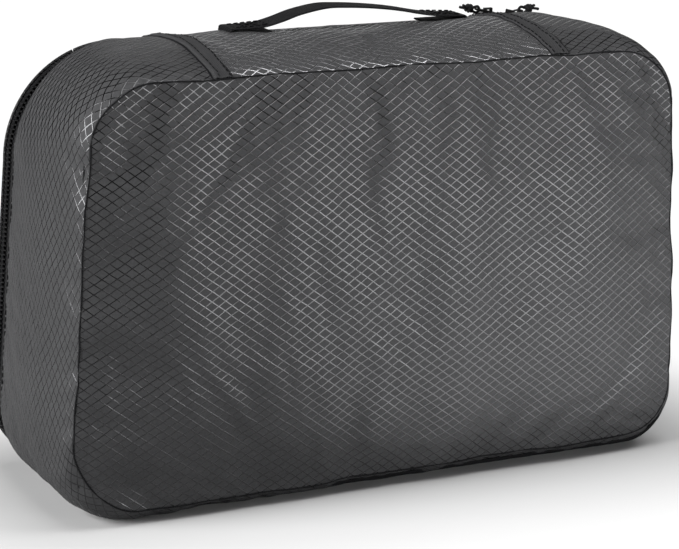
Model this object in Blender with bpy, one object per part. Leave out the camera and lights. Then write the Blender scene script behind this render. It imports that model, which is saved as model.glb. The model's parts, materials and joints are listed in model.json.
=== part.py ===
"""Small packing cube with a zipped lid, standing on one of its long narrow sides.

Frame: origin under the middle of the cube, X along its length, Y through its depth
with the solid back panel at -Y and the lid at +Y, Z up.
The dimensions below are in millimetres; meshes and locations are written in metres.
"""
import math

import bmesh
import bpy
from mathutils import Vector

MM = 0.001

# ---------------------------------------------------------------- driving dimensions
LENGTH = 280.0          # at the bottom
LEAN = 3.4              # how far each end leans in or out from its middle: the stuffed cube sags
DEPTH = 90.0
HEIGHT = 181.0
FABRIC = 1.0            # thickness of a fabric wall
GAP = 0.3               # clearance between neighbouring pieces
ARC_STEPS = 8           # facets in each quarter turn of a corner

BACK_Y = -DEPTH / 2
LID_Y = DEPTH / 2
ZIP_Y = 36.2            # middle of the zip chain
ZIP_FLAT_START = 31.0   # the wall runs flat from here ...
ZIP_FLAT_END = 41.5     # ... to here, so that the sliders run true

# How the outline pulls in from the full length and height at each depth:
# (y, at the ends, at the bottom, at the top, radius of the top corners, of the bottom corners)
OUTLINES = (
    (BACK_Y, 4.3, 5.5, 6.8, 26.0, 26.0),
    (-40.5, 1.6, 1.2, 4.2, 28.0, 26.0),
    (-28.0, 0.3, 0.0, 1.4, 31.0, 26.5),
    (-10.0, 0.0, 0.0, 0.0, 35.0, 27.0),
    (14.0, 0.0, 0.0, 0.0, 41.0, 28.0),
    (26.0, 0.6, 0.3, 2.8, 45.0, 29.0),
    (ZIP_FLAT_START, 1.5, 1.5, 5.5, 46.0, 30.0),
    (ZIP_FLAT_END, 1.5, 1.5, 5.5, 46.0, 30.0),
    (LID_Y, 4.5, 4.5, 8.5, 43.0, 27.0),
)

SPINE_END_X = 74.0      # the top strip that carries the handle ends here on both sides
BAND_HALF = 4.0         # half the width of the topstitched seam over each of its ends
LID_START = 21.0        # degrees round each top corner where the swinging lid's edge starts
STUB_END = 20.0         # degrees where the lid's fixed corner stops

TAPE_DEPTH = 1.3        # the zip tape lies this far under the outer surface
TAPE = 0.6
COIL_PROUD = 0.6
COIL_UNDER = 1.0
COIL_GAP = 0.8          # half the gap between the two coils, where the slider's post runs
COIL_WIDTH = 2.2
TAPE_GAP = 1.4          # half the gap between the two tapes

WEBBING = 12.5
WEBBING_T = 1.0
HANDLE_Y = 8.0          # the handle is sewn on a little behind the middle
HANDLE_END_X = 56.0     # outer end of the sewn handle
HANDLE_ROOT_X = 36.0    # where the webbing lifts off the top
HANDLE_MOVING_X = 24.0  # the middle stretch that leans over
HANDLE_RISE = 6.7

SLIDER_HALF = 4.3
SLIDER_A_X = 86.6
SLIDER_B_ANGLE = 14.0   # degrees round the top right corner
PULL_TILT_A = 11.0      # degrees that each pull stands off its slider
PULL_TILT_B = 24.0

WINDOW_HALF = 108.0
WINDOW_Z = (30.0, 148.0)
WINDOW_R = 18.0

RIPSTOP = (0.055, 0.056, 0.060)
BLACK = (0.012, 0.012, 0.013)


# ---------------------------------------------------------------- helpers
def clear_scene():
    for ob in list(bpy.data.objects):
        bpy.data.objects.remove(ob, do_unlink=True)


def material(name, color, roughness, metallic=0.0):
    mat = bpy.data.materials.get(name)
    if mat is None:
        mat = bpy.data.materials.new(name)
        mat.use_nodes = True
        shader = mat.node_tree.nodes["Principled BSDF"]
        shader.inputs["Base Color"].default_value = (*color, 1.0)
        shader.inputs["Roughness"].default_value = roughness
        shader.inputs["Metallic"].default_value = metallic
    return mat


def ripstop():
    return material("ripstop", RIPSTOP, 0.55)


def tape_black():
    return material("tape_black", BLACK, 0.85)


def coil_black():
    return material("coil_black", BLACK, 0.35)


def webbing_black():
    return material("webbing_black", (0.018, 0.018, 0.019), 0.8)


def metal_black():
    return material("metal_black", (0.02, 0.02, 0.02), 0.35, 1.0)


def cord_black():
    return material("cord_black", (0.015, 0.015, 0.016), 0.7)


def mesh_black():
    return material("mesh_black", (0.02, 0.02, 0.022), 0.8)


def mesh_object(name, verts, faces, mat):
    """An object from points in millimetres, with its faces turned outwards."""
    bm = bmesh.new()
    corners = [bm.verts.new(Vector(v) * MM) for v in verts]
    for face in faces:
        bm.faces.new([corners[i] for i in face])
    bmesh.ops.recalc_face_normals(bm, faces=bm.faces)
    mesh = bpy.data.meshes.new(name)
    bm.to_mesh(mesh)
    bm.free()
    ob = bpy.data.objects.new(name, mesh)
    ob.data.materials.append(mat)
    bpy.context.scene.collection.objects.link(ob)
    return ob


def outline(y):
    """The outline at depth y: half length at mid height, bottom, top, top and bottom radius."""
    for low, high in zip(OUTLINES, OUTLINES[1:]):
        if y <= high[0]:
            break
    t = min(1.0, max(0.0, (y - low[0]) / (high[0] - low[0])))
    ends, bottom, top, upper, lower = (a + (b - a) * t for a, b in zip(low[1:], high[1:]))
    return LENGTH / 2 - LEAN - ends, bottom, HEIGHT - top, upper, lower


def on_top(x):
    """A station on the straight top, at x."""
    def point(y, under):
        return x, y, outline(y)[2] - under
    return point


def on_corner(side, end, angle):
    """A station round a corner: side +1 is right, end +1 is the top, angle counts from there."""
    turn = math.radians(angle)

    def point(y, under):
        half, bottom, top, upper, lower = outline(y)
        radius = upper if end > 0 else lower
        middle = top - radius if end > 0 else bottom + radius
        reach = radius - under
        return (side * (half - end * LEAN - radius + reach * math.sin(turn)), y,
                middle + end * reach * math.cos(turn))
    return point


def corner_run(side, end, first, last):
    steps = max(1, round(abs(last - first) / 90.0 * ARC_STEPS))
    return [on_corner(side, end, first + (last - first) * i / steps) for i in range(steps + 1)]


def lower_run(start_angle):
    """Stations from the top right corner, down and round the bottom, to the top left corner."""
    return (corner_run(1, 1, start_angle, 90) + corner_run(1, -1, 90, 0)
            + corner_run(-1, -1, 0, 90) + corner_run(-1, 1, 90, start_angle))


def strip_section(y0, y1, under, thick):
    """A wall strip's section: outer points and back along the inside, bending with the outline."""
    ys = [y0] + [o[0] for o in OUTLINES if y0 + 0.5 < o[0] < y1 - 0.5] + [y1]
    return [(y, under) for y in ys] + [(y, under + thick) for y in reversed(ys)]


def sweep(name, section, stations, mat, closed=False):
    """Carry a section of (y, under) points along stations on the cube's outline."""
    count = len(section)
    verts = []
    for station in stations:
        verts += [station(y, under) for y, under in section]
    faces = []
    rings = len(stations)
    for i in range(rings if closed else rings - 1):
        a = i * count
        b = (i + 1) % rings * count
        for j in range(count):
            k = (j + 1) % count
            faces.append((a + j, a + k, b + k, b + j))
    if not closed:
        faces.append(tuple(range(count)))
        faces.append(tuple(range((rings - 1) * count, rings * count)))
    return mesh_object(name, verts, faces, mat)


def rounded_rectangle(half, z0, z1, radius):
    points = []
    for side, end, turn in ((1, 1, 0), (1, -1, 1), (-1, -1, 2), (-1, 1, 3)):
        cx = side * (half - radius)
        cz = z1 - radius if end > 0 else z0 + radius
        for i in range(ARC_STEPS + 1):
            angle = math.radians(90 - 90 * turn - 90 * i / ARC_STEPS)
            points.append((cx + radius * math.cos(angle), cz + radius * math.sin(angle)))
    return points


def plate(name, points, y0, y1, mat):
    """A flat plate between two depths, from an outline of (x, z) points."""
    count = len(points)
    verts = [(x, y, z) for y in (y0, y1) for x, z in points]
    faces = [tuple(range(count)), tuple(range(count, 2 * count))]
    faces += [(i, (i + 1) % count, count + (i + 1) % count, count + i) for i in range(count)]
    return mesh_object(name, verts, faces, mat)


def ring_plate(name, outer, inner, y0, y1, mat):
    """A flat ring between two outlines that have the same number of points."""
    count = len(outer)
    loops = [(outer, y0), (outer, y1), (inner, y1), (inner, y0)]
    verts = [(x, y, z) for points, y in loops for x, z in points]
    faces = []
    for loop in range(4):
        a = loop * count
        b = (loop + 1) % 4 * count
        for i in range(count):
            k = (i + 1) % count
            faces.append((a + i, a + k, b + k, b + i))
    return mesh_object(name, verts, faces, mat)


def prism(name, points, low, high, mat):
    """A body with an (x, y) outline, standing between two heights."""
    count = len(points)
    verts = [(x, y, z) for z in (low, high) for x, y in points]
    faces = [tuple(range(count)), tuple(range(count, 2 * count))]
    faces += [(i, (i + 1) % count, count + (i + 1) % count, count + i) for i in range(count)]
    return mesh_object(name, verts, faces, mat)


def block(name, x0, x1, y0, y1, z0, z1, mat):
    return prism(name, [(x0, y0), (x1, y0), (x1, y1), (x0, y1)], z0, z1, mat)


def profile_body(name, points, half_width, mat):
    """A body with an (x, z) outline, as wide as the handle's webbing across Y."""
    return plate(name, points, HANDLE_Y - half_width, HANDLE_Y + half_width, mat)


def tube(name, points, radius, mat, closed=False, resolution=2):
    """A round cord or wire along points in millimetres."""
    curve = bpy.data.curves.new(name, "CURVE")
    curve.dimensions = "3D"
    curve.bevel_depth = radius * MM
    curve.bevel_resolution = resolution
    curve.render_resolution_u = 0
    curve.use_fill_caps = True
    spline = curve.splines.new("POLY")
    spline.points.add(len(points) - 1)
    for target, point in zip(spline.points, points):
        target.co = (*(Vector(point) * MM), 1.0)
    spline.use_cyclic_u = closed
    ob = bpy.data.objects.new(name, curve)
    curve.materials.append(mat)
    bpy.context.scene.collection.objects.link(ob)
    return ob


def baked(ob):
    """The mesh that an object evaluates to."""
    bpy.context.view_layer.update()
    return bpy.data.meshes.new_from_object(ob.evaluated_get(bpy.context.evaluated_depsgraph_get()))


def union(name, pieces, mat):
    """Join overlapping pieces into one closed body."""
    body = pieces[0]
    for piece in pieces[1:]:
        joiner = body.modifiers.new("join", "BOOLEAN")
        joiner.operation = "UNION"
        joiner.solver = "EXACT"
        joiner.object = piece
    mesh = baked(body)
    for piece in pieces:
        bpy.data.objects.remove(piece, do_unlink=True)
    mesh.name = name
    mesh.materials.clear()
    mesh.materials.append(mat)
    ob = bpy.data.objects.new(name, mesh)
    bpy.context.scene.collection.objects.link(ob)
    return ob


def joint_empty(name, location, rotation=(0.0, 0.0, 0.0), parent=None):
    """An empty on a joint's axis, which the moving pieces hang from."""
    empty = bpy.data.objects.new(name, None)
    empty.empty_display_size = 0.01
    bpy.context.scene.collection.objects.link(empty)
    empty.parent = parent
    empty.location = Vector(location) * MM
    empty.rotation_euler = rotation
    return empty


def hang(ob, parent, keep_world=False):
    """Parent an object; keep_world leaves its points where they were modelled."""
    ob.parent = parent
    if keep_world:
        bpy.context.view_layer.update()
        ob.matrix_parent_inverse = parent.matrix_world.inverted()
    return ob


def smooth_path(points, steps):
    """A Catmull-Rom curve through a few route points."""
    route = [Vector(p) for p in points]
    ends = [2 * route[0] - route[1]] + route + [2 * route[-1] - route[-2]]
    out = []
    for i in range(len(route) - 1):
        p0, p1, p2, p3 = ends[i:i + 4]
        for step in range(steps):
            t = step / steps
            out.append(0.5 * (2 * p1 + (p2 - p0) * t + (2 * p0 - 5 * p1 + 4 * p2 - p3) * t ** 2
                              + (3 * p1 - p0 - 3 * p2 + p3) * t ** 3))
    out.append(route[-1])
    return out


# ---------------------------------------------------------------- the body
def full_loop():
    return (corner_run(1, 1, 0, 90) + corner_run(1, -1, 90, 0)
            + corner_run(-1, -1, 0, 90) + corner_run(-1, 1, 90, 0))


def edge_points(y, under):
    """The cube's outline at depth y, drawn in by a distance."""
    return [(x, z) for x, _, z in (station(y, under) for station in full_loop())]


def make_back_panel():
    plate("back_panel", edge_points(BACK_Y, FABRIC + GAP), BACK_Y, BACK_Y + FABRIC, ripstop())


def make_back_binding():
    """The tape that binds the seam between panel and gusset, on the inside."""
    section = strip_section(BACK_Y + 2.0, BACK_Y + 6.5, FABRIC + GAP, FABRIC)
    sweep("back_seam_binding", section, full_loop(), tape_black(), closed=True)


def make_gusset():
    """The top strip between its two cross seams, and the long strip that wraps round the rest."""
    start = BACK_Y + 0.2
    spine = strip_section(start, LID_Y - 1.3, 0.0, FABRIC)
    sweep("gusset_spine", spine, [on_top(-SPINE_END_X), on_top(SPINE_END_X)], ripstop())
    wrap = strip_section(start, ZIP_FLAT_START - 1.0, 0.0, FABRIC)
    stations = [on_top(SPINE_END_X + GAP)] + lower_run(0) + [on_top(-SPINE_END_X - GAP)]
    sweep("gusset_wrap", wrap, stations, ripstop())


def make_seam_bands():
    """The folded, topstitched seams that cross the top at both ends of the spine."""
    section = strip_section(BACK_Y + 1.5, ZIP_FLAT_START - 1.5, -FABRIC - GAP, FABRIC)
    for name, side in (("seam_band_left", -1), ("seam_band_right", 1)):
        stations = [on_top(side * SPINE_END_X - BAND_HALF), on_top(side * SPINE_END_X + BAND_HALF)]
        sweep(name, section, stations, ripstop())


# ---------------------------------------------------------------- the zip
def tape_section(side):
    if side < 0:
        return strip_section(ZIP_FLAT_START - 6.0, ZIP_Y - TAPE_GAP, TAPE_DEPTH, TAPE)
    return strip_section(ZIP_Y + TAPE_GAP, LID_Y - 1.4, TAPE_DEPTH, TAPE)


def coil_section(side):
    near = ZIP_Y + side * COIL_GAP
    far = near + side * COIL_WIDTH
    return strip_section(min(near, far), max(near, far), -COIL_PROUD, COIL_PROUD + COIL_UNDER)


def zip_stations(start_x):
    return [on_top(start_x)] + lower_run(0) + [on_top(-start_x)]


def stub_stations(side, start_x):
    return [on_top(side * start_x)] + corner_run(side, 1, 0, STUB_END)


def make_zip():
    tape_start = SPINE_END_X + 0.6
    stop_start = SPINE_END_X + BAND_HALF + 0.4
    coil_start = stop_start + 1.5
    sweep("zip_tape_body", tape_section(-1), zip_stations(tape_start), tape_black())
    sweep("zip_coil_body", coil_section(-1), zip_stations(coil_start), coil_black())
    sweep("zip_tape_lid", tape_section(1), lower_run(LID_START), tape_black())
    sweep("zip_coil_lid", coil_section(1), lower_run(LID_START), coil_black())
    for name, side in (("left", -1), ("right", 1)):
        sweep("zip_tape_corner_" + name, tape_section(1), stub_stations(side, tape_start), tape_black())
        sweep("zip_coil_corner_" + name, coil_section(1), stub_stations(side, coil_start), coil_black())
        stop = strip_section(ZIP_Y - 3.0, ZIP_Y + 3.0, -0.8, 1.8)
        ends = [on_top(side * stop_start), on_top(side * (stop_start + 1.2))]
        sweep("zip_end_stop_" + name, stop, ends, metal_black())


def make_slider(name, parent):
    """A slider: two plates held by a post between the coils, with a bridge for the pull."""
    nose = [(-SLIDER_HALF, -2.9), (-1.0, -4.5), (SLIDER_HALF - 0.8, -4.5), (SLIDER_HALF, -3.6),
            (SLIDER_HALF, 3.6), (SLIDER_HALF - 0.8, 4.5), (-1.0, 4.5), (-SLIDER_HALF, 2.9)]
    mat = metal_black()
    pieces = [
        prism("top_plate", nose, 1.2, 2.4, mat),
        prism("bottom_plate", nose, -3.6, -2.5, mat),
        block("post", SLIDER_HALF - 3.0, SLIDER_HALF - 0.3, -0.5, 0.5, -3.0, 1.8, mat),
        block("flange_near", -0.8, SLIDER_HALF - 1.0, -4.4, -3.6, -0.7, 1.8, mat),
        block("flange_far", -0.8, SLIDER_HALF - 1.0, 3.6, 4.4, -0.7, 1.8, mat),
        block("bridge_foot_back", -1.9, -1.1, -0.8, 0.8, 2.0, 4.4, mat),
        block("bridge_foot_front", 1.1, 1.9, -0.8, 0.8, 2.0, 4.4, mat),
        block("bridge_top", -1.9, 1.9, -0.8, 0.8, 3.95, 4.7, mat),
    ]
    return hang(union(name, pieces, mat), parent)


PIVOT_Z = 3.15          # height of the pull's pin above the zip's surface
RING_LENGTH = 5.6
RING_HALF = 2.0
RING_WIRE = 0.45
CORD_R = 0.6
KNOT_START = 8.2
KNOT_END = 10.8


def make_pull(letter, parent):
    """The wire ring on the slider, its cord loop, and the knot with its two short tails."""
    corner = 0.9
    ring = []
    for cx, cy, first in ((RING_LENGTH - corner, RING_HALF - corner, 0),
                          (corner, RING_HALF - corner, 90),
                          (corner, corner - RING_HALF, 180),
                          (RING_LENGTH - corner, corner - RING_HALF, 270)):
        for i in range(4):
            angle = math.radians(first + 30 * i)
            ring.append((cx + corner * math.cos(angle), cy + corner * math.sin(angle), 0.0))
    hang(tube("pull_ring_" + letter, ring, RING_WIRE, metal_black(), closed=True), parent)

    reach = RING_WIRE + CORD_R + 0.3
    half_loop = [(KNOT_START - GAP, 0.8, 0.2), (RING_LENGTH + 1.2, 0.75, 0.9 * reach),
                 (RING_LENGTH - 0.1, 0.2, reach)]
    route = half_loop + [(RING_LENGTH - reach, 0.0, 0.0)]
    route += [(x, -y, -z) for x, y, z in reversed(half_loop)]
    hang(tube("pull_cord_" + letter, smooth_path(route, 4), CORD_R, cord_black()), parent)

    barrel = [(KNOT_START, 1.3), (KNOT_START + 0.6, 2.0), (KNOT_END - 0.6, 2.0), (KNOT_END, 1.3)]
    sides = 12
    verts = []
    for x, r in barrel:
        verts += [(x, r * math.cos(2 * math.pi * i / sides), r * math.sin(2 * math.pi * i / sides))
                  for i in range(sides)]
    faces = [tuple(range(sides)), tuple(range(3 * sides, 4 * sides))]
    for ring_index in range(3):
        a = ring_index * sides
        faces += [(a + i, a + (i + 1) % sides, a + sides + (i + 1) % sides, a + sides + i)
                  for i in range(sides)]
    knot = mesh_object("barrel", verts, faces, cord_black())
    tails = []
    for side in (-1, 1):
        end = (KNOT_END + 2.8, side * 1.7, 0.6 * side + 0.5)
        tail = tube("tail", [(KNOT_END - 1.2, side * 0.75, 0.1 * side), end], CORD_R, cord_black())
        solid = bpy.data.objects.new("tail_solid", baked(tail))
        bpy.context.scene.collection.objects.link(solid)
        bpy.data.objects.remove(tail, do_unlink=True)
        tails.append(solid)
    hang(union("pull_knot_" + letter, [knot] + tails, cord_black()), parent)


def make_sliders():
    half, _, top, radius, _ = outline(ZIP_Y)
    a = joint_empty("slider_a_axis", (SLIDER_A_X, ZIP_Y, top))
    make_slider("slider_a", a)
    lying_left = (0.0, math.radians(180.0 + PULL_TILT_A), 0.0)
    make_pull("a", joint_empty("pull_a_axis", (0, 0, PIVOT_Z), lying_left, a))

    centre = joint_empty("slider_b_axis", (half - LEAN - radius, ZIP_Y, top - radius),
                         (0.0, math.radians(SLIDER_B_ANGLE), 0.0))
    b = joint_empty("slider_b_seat", (0, 0, radius), (0.0, 0.0, math.pi), centre)
    make_slider("slider_b", b)
    lying_right = (0.0, math.radians(180.0 + PULL_TILT_B), 0.0)
    make_pull("b", joint_empty("pull_b_axis", (0, 0, PIVOT_Z), lying_right, b))


# ---------------------------------------------------------------- the handle
def arch(x):
    """Height of the webbing's underside above the top of the cube."""
    return GAP + WEBBING_T + 0.1 + HANDLE_RISE * (1 - (x / HANDLE_ROOT_X) ** 2)


def arch_points(x0, x1, steps, lift):
    return [(x0 + (x1 - x0) * i / steps, HEIGHT + arch(x0 + (x1 - x0) * i / steps) + lift)
            for i in range(steps + 1)]


def make_handle():
    axis = joint_empty("handle_axis", (0, HANDLE_Y, HEIGHT + GAP))
    x = HANDLE_MOVING_X
    points = arch_points(-x, x, 10, 0.0) + arch_points(x, -x, 10, WEBBING_T)
    hang(profile_body("handle_strap", points, WEBBING / 2, webbing_black()), axis, keep_world=True)
    for name, side in (("handle_end_left", -1), ("handle_end_right", 1)):
        inner = side * (HANDLE_MOVING_X + GAP)
        root = side * HANDLE_ROOT_X
        outer = side * HANDLE_END_X
        base = HEIGHT + GAP
        points = [(outer, base), (root, base)]
        points += arch_points(root, inner, 4, 0.0)
        points += arch_points(inner, root, 4, WEBBING_T)
        points += [(outer, base + 2 * WEBBING_T + 0.1)]
        profile_body(name, points, WEBBING / 2, webbing_black())


def make_handle_stitching():
    """The raised rows of thread that hold each end of the handle down."""
    top = HEIGHT + 2 * GAP + 2 * WEBBING_T + 0.1
    for name, side in (("handle_stitching_left", -1), ("handle_stitching_right", 1)):
        middle = side * (HANDLE_END_X + HANDLE_ROOT_X) / 2
        outer = [(middle - 7, -4.5), (middle + 7, -4.5), (middle + 7, 4.5), (middle - 7, 4.5)]
        inner = [(middle - 6, -3.5), (middle + 6, -3.5), (middle + 6, 3.5), (middle - 6, 3.5)]
        loops = [(outer, top), (outer, top + 0.5), (inner, top + 0.5), (inner, top)]
        verts = [(px, HANDLE_Y + py, z) for points, z in loops for px, py in points]
        faces = []
        for loop in range(4):
            a = loop * 4
            b = (loop + 1) % 4 * 4
            faces += [(a + i, a + (i + 1) % 4, b + (i + 1) % 4, b + i) for i in range(4)]
        mesh_object(name, verts, faces, webbing_black())


# ---------------------------------------------------------------- the lid
def make_lid():
    axis = joint_empty("lid_axis", (0, LID_Y, outline(LID_Y)[2]))
    front = LID_Y - FABRIC
    window = rounded_rectangle(WINDOW_HALF, WINDOW_Z[0], WINDOW_Z[1], WINDOW_R)
    behind = rounded_rectangle(WINDOW_HALF + 5, WINDOW_Z[0] - 5, WINDOW_Z[1] + 5, WINDOW_R + 5)
    inside = rounded_rectangle(WINDOW_HALF + 1, WINDOW_Z[0] - 1, WINDOW_Z[1] + 1, WINDOW_R + 1)
    pieces = [
        ring_plate("lid_panel", edge_points(LID_Y, FABRIC + GAP), window, front, LID_Y, ripstop()),
        plate("mesh_window", behind, front - 0.8, front - GAP, mesh_black()),
        ring_plate("mesh_binding", behind, inside, front - 2.1, front - 1.1, tape_black()),
        sweep("lid_rim", strip_section(ZIP_FLAT_END + 0.9, LID_Y, 0.0, FABRIC),
              lower_run(LID_START), ripstop()),
        sweep("lid_seam_binding", strip_section(ZIP_FLAT_END - 0.3, LID_Y - 1.4, 2.2, FABRIC),
              lower_run(LID_START), tape_black()),
    ]
    pieces += [bpy.data.objects["zip_tape_lid"], bpy.data.objects["zip_coil_lid"]]
    for piece in pieces:
        hang(piece, axis, keep_world=True)


def make_lid_corners():
    """The short stretches of the lid's edge beside the spine, which stay with the body."""
    section = strip_section(ZIP_FLAT_END + 0.9, LID_Y, 0.0, FABRIC)
    for name, side in (("lid_corner_left", -1), ("lid_corner_right", 1)):
        sweep(name, section, stub_stations(side, SPINE_END_X + GAP), ripstop())


def main():
    clear_scene()
    make_back_panel()
    make_back_binding()
    make_gusset()
    make_seam_bands()
    make_zip()
    make_sliders()
    make_handle()
    make_handle_stitching()
    make_lid()
    make_lid_corners()


main()
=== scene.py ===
"""The looks of a small packing cube: black diamond ripstop, a coil zip with two sliders,
a webbing handle and a mesh lid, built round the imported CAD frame.

Points are worked out in millimetres in the frame's axes (X along the length, Y through the
depth with the solid back panel at -Y, Z up) and written to meshes in metres.
"""
import json
import math

import bmesh
import bpy
import numpy as np
from mathutils import Matrix, Vector, noise


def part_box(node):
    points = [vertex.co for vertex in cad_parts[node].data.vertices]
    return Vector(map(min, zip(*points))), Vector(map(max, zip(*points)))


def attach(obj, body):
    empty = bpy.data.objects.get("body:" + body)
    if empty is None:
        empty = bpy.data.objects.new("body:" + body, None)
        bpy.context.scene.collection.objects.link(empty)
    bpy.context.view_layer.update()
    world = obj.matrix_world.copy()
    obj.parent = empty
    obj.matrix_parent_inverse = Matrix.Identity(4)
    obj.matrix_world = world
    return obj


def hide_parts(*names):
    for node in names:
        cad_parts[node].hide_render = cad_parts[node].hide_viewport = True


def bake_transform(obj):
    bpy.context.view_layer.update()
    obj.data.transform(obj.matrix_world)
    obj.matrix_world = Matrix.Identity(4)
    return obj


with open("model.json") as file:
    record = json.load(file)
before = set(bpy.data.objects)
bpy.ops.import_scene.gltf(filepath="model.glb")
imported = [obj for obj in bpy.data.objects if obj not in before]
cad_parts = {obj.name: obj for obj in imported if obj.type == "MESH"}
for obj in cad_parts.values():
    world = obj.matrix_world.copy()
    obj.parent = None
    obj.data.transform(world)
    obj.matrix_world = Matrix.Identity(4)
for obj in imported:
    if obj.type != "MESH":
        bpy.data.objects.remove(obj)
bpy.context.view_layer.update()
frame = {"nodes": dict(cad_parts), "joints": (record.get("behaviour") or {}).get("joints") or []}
noise.seed_set(4)       # the vector noise starts from the clock otherwise

MM = 0.001


def node_box(node):
    """Lowest and highest corner of a CAD node, in millimetres."""
    low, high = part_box(node)
    return low / MM, high / MM


# ---------------------------------------------------------------- sizes from the frame
WRAP_LOW, WRAP_HIGH = node_box("gusset_wrap")
LENGTH = WRAP_HIGH.x - WRAP_LOW.x
HEIGHT = WRAP_HIGH.z
BACK_Y = node_box("back_panel")[0].y
LID_Y = node_box("lid_panel")[1].y
COIL_BODY_HIGH_Y = node_box("zip_coil_body")[1].y
COIL_LID_LOW_Y = node_box("zip_coil_lid")[0].y
ZIP_Y = (COIL_BODY_HIGH_Y + COIL_LID_LOW_Y) / 2
SPINE_END_X = node_box("gusset_spine")[1].x
BAND_LOW, BAND_HIGH = node_box("seam_band_right")
ZIP_TOP = node_box("lid_corner_right")[1].z

# ---------------------------------------------------------------- sizes shared with the CAD
LEAN = 3.4              # the ends lean out towards the bottom
ZIP_EDGE_Y = 30.6       # the wrap's folded edge beside the zip
ZIP_FLAT_END = 41.5
LID_START = 21.0        # degrees round each top corner where the swinging lid starts
STUB_END = 20.0
STOP_START_X = 78.4
SLIDER_B_ANGLE = 14.0

HANDLE_Y = 8.0
WEBBING = 12.5
WEBBING_T = 0.85

WINDOW_HALF = 108.0
WINDOW_Z = (30.0, 148.0)
WINDOW_R = 18.0

RING_LENGTH = 5.6
RING_WIRE = 0.45
CORD_R = 0.6
KNOT_START = 8.2
KNOT_END = 10.8
PULL_RISE_A = 11.0      # degrees that each pull rises towards its knot
PULL_RISE_B = 10.0

# (y, at the ends, at the bottom, at the top, radius of the top corners, of the bottom corners)
SECTIONS = (
    (BACK_Y, 4.3, 5.5, 6.8, 26.0, 26.0),
    (-40.5, 1.6, 1.2, 4.2, 28.0, 26.0),
    (-28.0, 0.3, 0.0, 1.4, 31.0, 26.5),
    (-10.0, 0.0, 0.0, 0.0, 35.0, 27.0),
    (14.0, 0.0, 0.0, 0.0, 41.0, 28.0),
    (26.0, 0.6, 0.3, 2.8, 45.0, 29.0),
    (31.0, 1.5, 1.5, 5.5, 46.0, 30.0),
    (ZIP_FLAT_END, 1.5, 1.5, 5.5, 46.0, 30.0),
    (LID_Y, 4.5, 4.5, 8.5, 43.0, 27.0),
)

# ---------------------------------------------------------------- the cloth's grid
ARC_CELLS = 9           # cells in each half of a panel corner
TOP_CELLS = (10, 4, 60, 4, 10)
SIDE_CELLS = 50
ROW_STEPS = (0.9, 1.2, 1.5, 1.8, 2.1)
ROW_STEP = 2.35
PANEL_SWELL = 7.0
TOP_SAG = 1.0           # the top sags a little in the middle
SEAM_RISE = 2.2         # the back seam rides up at the bottom right
SEAM_RISE_HEIGHT = 90.0 # and less so up to this height
SEAM_REACH_Y = -26.0    # depth where the back seam's unevenness has faded out
CORNER_SKEW = 5.0       # the bottom corners of the back seam: left rounder, right sharper
SEAM_WANDER = 1.5       # how far the back seam strays from its even line
PULLED = 1.2            # the handle's left end pulls the top up by this much
PULLED_X = -46.0
CLOTH = 0.6             # thickness

# ---------------------------------------------------------------- ripstop
LATTICE_LONG = 5.7      # the diamonds' long way
LATTICE_SHORT = 3.92
LATTICE_LINE = 0.27     # half the width of a line
LATTICE_TURN = 2.3      # degrees that the back panel's cloth is turned
WEAVE_X = 0.42          # pitch of the fine weave inside the diamonds
WEAVE_Y = 0.50
CELL_DARK = (0.024, 0.024, 0.0252)
CELL_LIGHT = (0.062, 0.062, 0.0642)
CELL_ROUGH = 0.66
LINE_ROUGH = 0.26

# ---------------------------------------------------------------- trim
TOOTH_PITCH = 1.9
TOOTH_R = 0.45
STITCH = 2.1            # length of one stitch
STITCH_PITCH = 2.9
STITCH_R = 0.26
NET_CELL = 2.3
NET_YARN = 0.34

# Height of the strap's middle above the top of the cube, at each x.
HANDLE_ROUTE = ((-45, 2.9), (-39, 3.0), (-34, 3.4), (-27, 5.1), (-19, 7.5), (-8, 9.3), (1, 9.2),
                (10, 8.6), (20, 7.4), (28, 6.1), (35, 4.7), (41, 3.7), (48, 3.0))
# The strap's folds: (x of the fold, height of the layer underneath, height of the layer on top)
HANDLE_FOLDS = ((-50.0, 1.0, 2.9), (56.5, 0.7, 2.6))
# The sewn box on each end of the strap
BOX_INSET = 2.2         # from the fold
BOX_LENGTH = 14.5
BOX_HALF = 4.6          # half its width
BOX_LIFT = 0.42         # above the strap's middle


# ---------------------------------------------------------------- small helpers
def shader(name):
    """A new material, its node tree and its Principled shader."""
    mat = bpy.data.materials.new(name)
    mat.use_nodes = True
    return mat, mat.node_tree, mat.node_tree.nodes["Principled BSDF"]


def math_node(tree, operation, a, b=None):
    """A Math node whose inputs are sockets or numbers."""
    node = tree.nodes.new("ShaderNodeMath")
    node.operation = operation
    for socket, value in zip(node.inputs, (a, b)):
        if value is None:
            continue
        if isinstance(value, bpy.types.NodeSocket):
            tree.links.new(value, socket)
        else:
            socket.default_value = value
    return node.outputs[0]


def plus(tree, a, b):
    return math_node(tree, "ADD", a, b)


def times(tree, a, b):
    return math_node(tree, "MULTIPLY", a, b)


def sine(tree, value, period):
    """A sine wave along a value."""
    return math_node(tree, "SINE", times(tree, value, 2 * math.pi / period))


def ramp(tree, value, low, high, out_low=0.0, out_high=1.0, smooth=True):
    """Map a value from low..high to out_low..out_high, held at both ends."""
    node = tree.nodes.new("ShaderNodeMapRange")
    node.interpolation_type = "SMOOTHSTEP" if smooth else "LINEAR"
    for socket, number in zip(node.inputs[1:5], (low, high, out_low, out_high)):
        socket.default_value = number
    tree.links.new(value, node.inputs[0])
    return node.outputs[0]


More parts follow.
